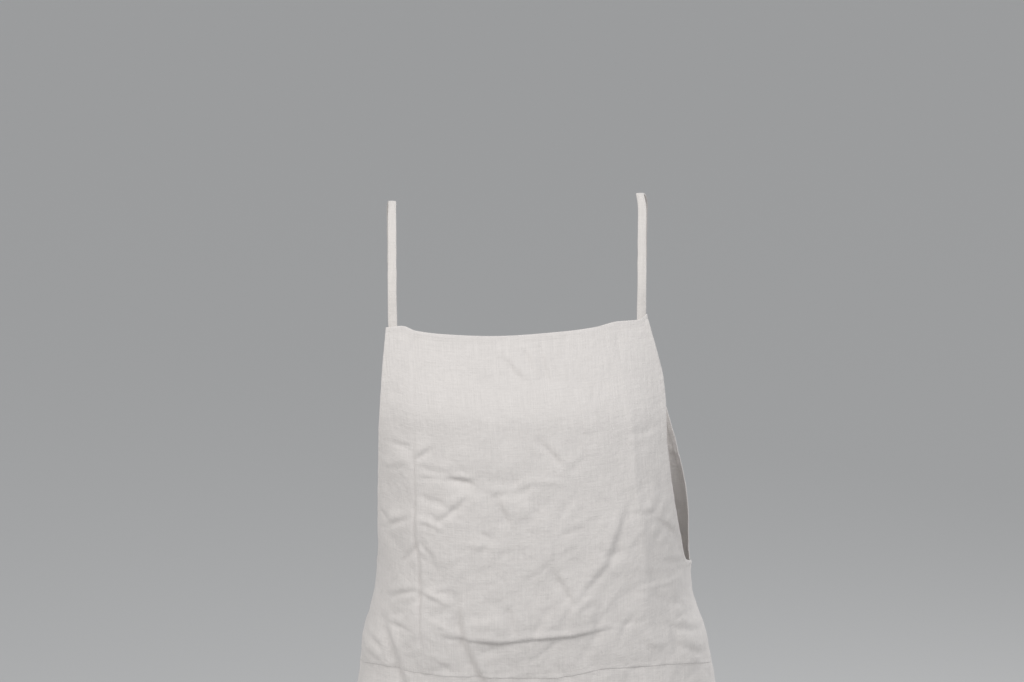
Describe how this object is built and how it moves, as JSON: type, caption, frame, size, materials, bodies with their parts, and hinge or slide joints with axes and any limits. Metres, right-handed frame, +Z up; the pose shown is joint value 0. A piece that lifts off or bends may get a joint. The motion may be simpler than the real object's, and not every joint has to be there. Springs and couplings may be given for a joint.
{
  "type": "tank dress",
  "caption": "Sleeveless tank dress in washed linen with narrow shoulder straps, deep open armholes and a flared skirt below a drop-waist seam.",
  "frame": {"origin": "midway between the crests of the two shoulder straps, where the wearer's shoulders hold the dress", "axes": "+Z up; the front of the dress faces -Y; +X is to the right of someone who faces the front"},
  "size_m": [0.487, 0.3212, 0.9344],
  "materials": {
    "bodice_front": "washed plain-weave linen, matt",
    "bodice_back": "washed plain-weave linen, matt",
    "skirt_front": "washed plain-weave linen, matt",
    "skirt_back": "washed plain-weave linen, matt",
    "strap_left": "folded linen strap, pressed flat",
    "strap_right": "folded linen strap, pressed flat"
  },
  "bodies": {
    "root": {"bodice_front": "bodice_front", "bodice_back": "bodice_back", "skirt_front": "skirt_front", "skirt_back": "skirt_back", "strap_left": "strap_left", "strap_right": "strap_right"}
  },
  "joints": []
}
